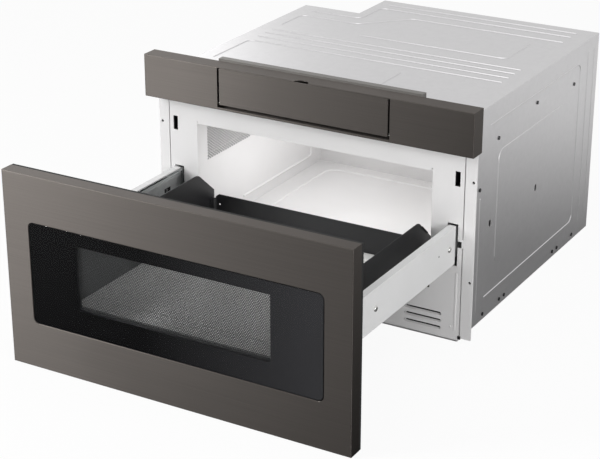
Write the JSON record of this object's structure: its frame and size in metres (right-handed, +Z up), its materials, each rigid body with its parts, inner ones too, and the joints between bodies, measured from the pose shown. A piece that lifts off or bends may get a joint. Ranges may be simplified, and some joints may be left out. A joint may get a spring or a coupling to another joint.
{
  "type": "microwave drawer",
  "caption": "Built-in microwave drawer: steel case with flanges and trim, tilting control panel, and a windowed drawer with a basket on telescopic slides.",
  "frame": {"origin": "middle of the case's front edge, on the underside of the base plate", "axes": "+X to the right as seen from the front, +Y from the front to the back, +Z up"},
  "size_m": [0.6064, 0.974, 0.408],
  "materials": {
    "galvanised_sheet": "satin galvanised",
    "dark_screws": "black zinc",
    "rubber": "matt black",
    "white_enamel": "satin white enamel",
    "black_stainless": "horizontal brushed black stainless",
    "hood_steel": "satin dark",
    "grey_plastic": "matt grey",
    "stirrer_cover": "matt off-white",
    "steel_plate": "satin",
    "aluminium": "satin",
    "transformer_core": "varnished laminations",
    "black_plastic": "matt black",
    "circuit_board": "satin green board",
    "zinc_plated_slide": "bright zinc",
    "nylon": "natural nylon",
    "keypad_glass": "gloss black",
    "screws": "bright zinc",
    "door_glass": "gloss black printed glass",
    "shield_screen": "matt grey",
    "matte_black": "deep matt black",
    "inner_glass": "clear",
    "zinc_plated_arm": "satin light grey",
    "dark_basket": "satin dark grey enamel",
    "tray_ceramic": "glazed white",
    "bearing_balls": "polished"
  },
  "bodies": {
    "cabinet": {"base_plate": "galvanised_sheet", "right_side_panel": "galvanised_sheet", "left_side_panel": "galvanised_sheet", "case_screws": "dark_screws", "top_cover": "galvanised_sheet", "rear_panel": "galvanised_sheet", "cord_inlet": "rubber", "front_frame": "white_enamel", "mounting_flanges": "white_enamel", "top_trim": "black_stainless", "trim_hood": "hood_steel", "panel_gearmotor": "grey_plastic", "cavity_shell": "white_enamel", "vent_screen": "white_enamel", "stirrer_cover": "stirrer_cover", "waveguide": "steel_plate", "stirrer_motor": "grey_plastic", "magnetron": "aluminium", "hv_transformer": "transformer_core", "hv_capacitor": "aluminium", "fan_shroud": "black_plastic", "fan_motor": "steel_plate", "noise_filter": "circuit_board", "control_board": "circuit_board", "cavity_lamp": "grey_plastic", "thermal_cutouts": "grey_plastic", "interlock_switches": "black_plastic", "slide_brackets": "steel_plate", "cabinet_rails": "zinc_plated_slide", "drawer_motor": "grey_plastic", "rack_guide": "nylon"},
    "control_panel": {"control_panel_face": "black_stainless", "control_panel_housing": "black_plastic", "touch_keypad": "keypad_glass", "panel_hinge_pins": "screws"},
    "drawer": {"door_skin": "black_stainless", "door_glass": "door_glass", "door_core": "black_plastic", "door_screen": "shield_screen", "door_back": "matte_black", "door_inner_glass": "inner_glass", "door_choke": "black_plastic", "door_bumpers": "rubber", "interlock_tongues": "nylon", "left_arm": "zinc_plated_arm", "right_arm": "zinc_plated_arm", "arm_screws": "screws", "drawer_rails": "zinc_plated_slide", "left_wing": "dark_basket", "right_wing": "dark_basket", "basket_pan": "dark_basket", "basket_rail": "dark_basket", "ceramic_tray": "tray_ceramic", "drive_rack": "nylon"},
    "middle_slides": {"middle_rails": "zinc_plated_slide"},
    "rear_cages": {"rear_ball_cages": "bearing_balls"},
    "front_cages": {"front_ball_cages": "bearing_balls"},
    "pinion": {"drive_pinion": "nylon"},
    "fan": {"fan_blade": "black_plastic"},
    "stirrer": {"stirrer_blade": "aluminium"}
  },
  "joints": [
    {"name": "drawer_slide", "type": "slide", "parent": "cabinet", "child": "drawer", "axis": [0, 1, 0], "range_m": [0, 0.381]},
    {"name": "middle_rails_slide", "type": "slide", "parent": "cabinet", "child": "middle_slides", "axis": [0, 1, 0], "range_m": [0, 0.191]},
    {"name": "rear_cages_slide", "type": "slide", "parent": "cabinet", "child": "rear_cages", "axis": [0, 1, 0], "range_m": [0, 0.0955]},
    {"name": "front_cages_slide", "type": "slide", "parent": "cabinet", "child": "front_cages", "axis": [0, 1, 0], "range_m": [0, 0.286]},
    {"name": "pinion_spin", "type": "hinge", "parent": "cabinet", "child": "pinion", "pos_m": [0, 0.02, 0.0383], "axis": [-1, 0, 0], "range_deg": [0, 1618]},
    {"name": "control_panel_tilt", "type": "hinge", "parent": "cabinet", "child": "control_panel", "pos_m": [0, -0.0275, 0.342], "axis": [1, 0, 0], "range_deg": [0, 45]},
    {"name": "fan_spin", "type": "hinge", "parent": "cabinet", "child": "fan", "pos_m": [-0.06, 0.5, 0.2], "axis": [0, 1, 0], "continuous": true},
    {"name": "stirrer_spin", "type": "hinge", "parent": "cabinet", "child": "stirrer", "pos_m": [0.07, 0.25, 0.279], "axis": [0, 0, 1], "continuous": true}
  ],
  "couplings": [
    {"joint": "middle_rails_slide", "follows": "drawer_slide", "ratio": 0.5},
    {"joint": "rear_cages_slide", "follows": "drawer_slide", "ratio": 0.25},
    {"joint": "front_cages_slide", "follows": "drawer_slide", "ratio": 0.75},
    {"joint": "pinion_spin", "follows": "drawer_slide", "rad_per_m": 74.074}
  ]
}
